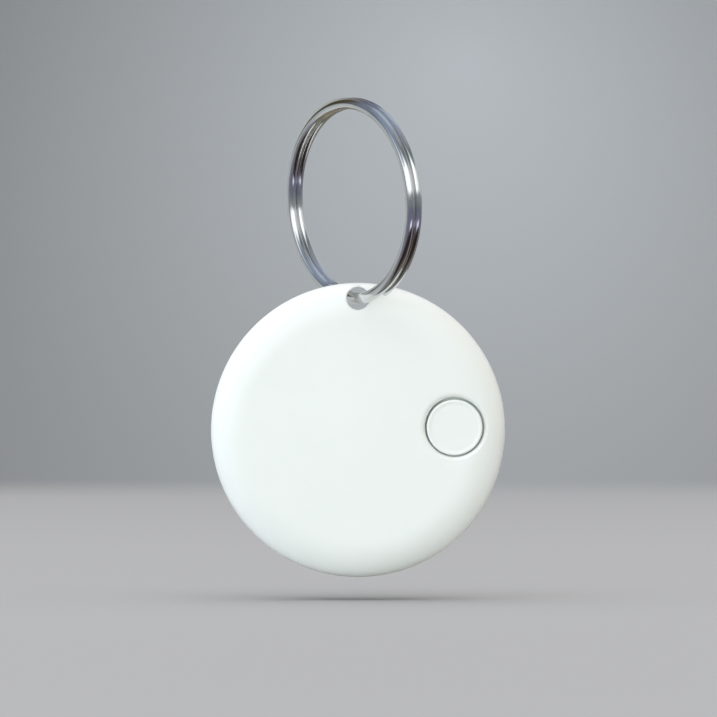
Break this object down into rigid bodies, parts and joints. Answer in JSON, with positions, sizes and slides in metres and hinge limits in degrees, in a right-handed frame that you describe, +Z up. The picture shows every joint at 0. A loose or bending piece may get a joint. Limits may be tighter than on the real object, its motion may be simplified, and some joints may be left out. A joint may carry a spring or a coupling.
{
  "type": "bluetooth tracker tag",
  "caption": "Round white pebble tracker tag with a small push button, a lanyard hole at its rim, a removable coin-cell door and a polished split key ring.",
  "frame": {"origin": "middle of the body's flat back face, on the outside of the battery door", "axes": "+X to the right seen from the front, +Y out of the back face, +Z up towards the lanyard hole and the split ring"},
  "size_m": [0.036, 0.0208, 0.0585],
  "materials": {
    "shell_white": "satin moulded",
    "button_white": "satin moulded",
    "door_white": "satin moulded",
    "ring_nickel": "polished nickel plate",
    "board_green": "solder mask",
    "screw_steel": "zinc plated",
    "part_steel": "bright",
    "chip_black": "moulded epoxy",
    "switch_black": "moulded",
    "antenna_ceramic": "fired",
    "passive_mix": "fired, tinned ends",
    "piezo_brass": "rolled",
    "piezo_silver": "silvered",
    "foam_black": "closed-cell foam tape",
    "contact_gold": "gold flash",
    "carrier_black": "moulded",
    "cell_steel": "bright nickel",
    "cell_gasket": "moulded nylon",
    "cell_fill": "pressed powder",
    "o_ring_black": "moulded"
  },
  "bodies": {
    "ring": {"split_ring": "ring_nickel"},
    "tag": {"front_shell": "shell_white", "back_shell": "shell_white", "switch_cover": "part_steel", "switch_base": "switch_black", "circuit_board": "board_green", "board_screws": "screw_steel", "radio_chip": "chip_black", "crystals": "part_steel", "chip_antenna": "antenna_ceramic", "passives": "passive_mix", "piezo_plate": "piezo_brass", "piezo_ceramic": "piezo_silver", "piezo_adhesive": "foam_black", "piezo_pins": "contact_gold", "battery_carrier": "carrier_black", "contact_positive": "contact_gold", "contact_negative": "contact_gold", "battery_can": "cell_steel", "battery_cap": "cell_steel", "battery_gasket": "cell_gasket", "battery_core": "cell_fill"},
    "button": {"button_cap": "button_white", "switch_plunger": "switch_black"},
    "door": {"battery_door": "door_white", "door_o_ring": "o_ring_black"}
  },
  "joints": [
    {"name": "tag_swing", "type": "hinge", "parent": "ring", "child": "tag", "pos_m": [0.00008, -0.00745, 0.01608], "axis": [0.6088, -0.7934, 0], "range_deg": [-40, 50]},
    {"name": "button_press", "type": "slide", "parent": "tag", "child": "button", "axis": [0, 1, 0], "range_m": [0, 0.00025], "stiffness_N_per_m": 1000},
    {"name": "door_pull", "type": "slide", "parent": "tag", "child": "door", "axis": [0, 1, 0], "range_m": [0, 0.012]}
  ]
}
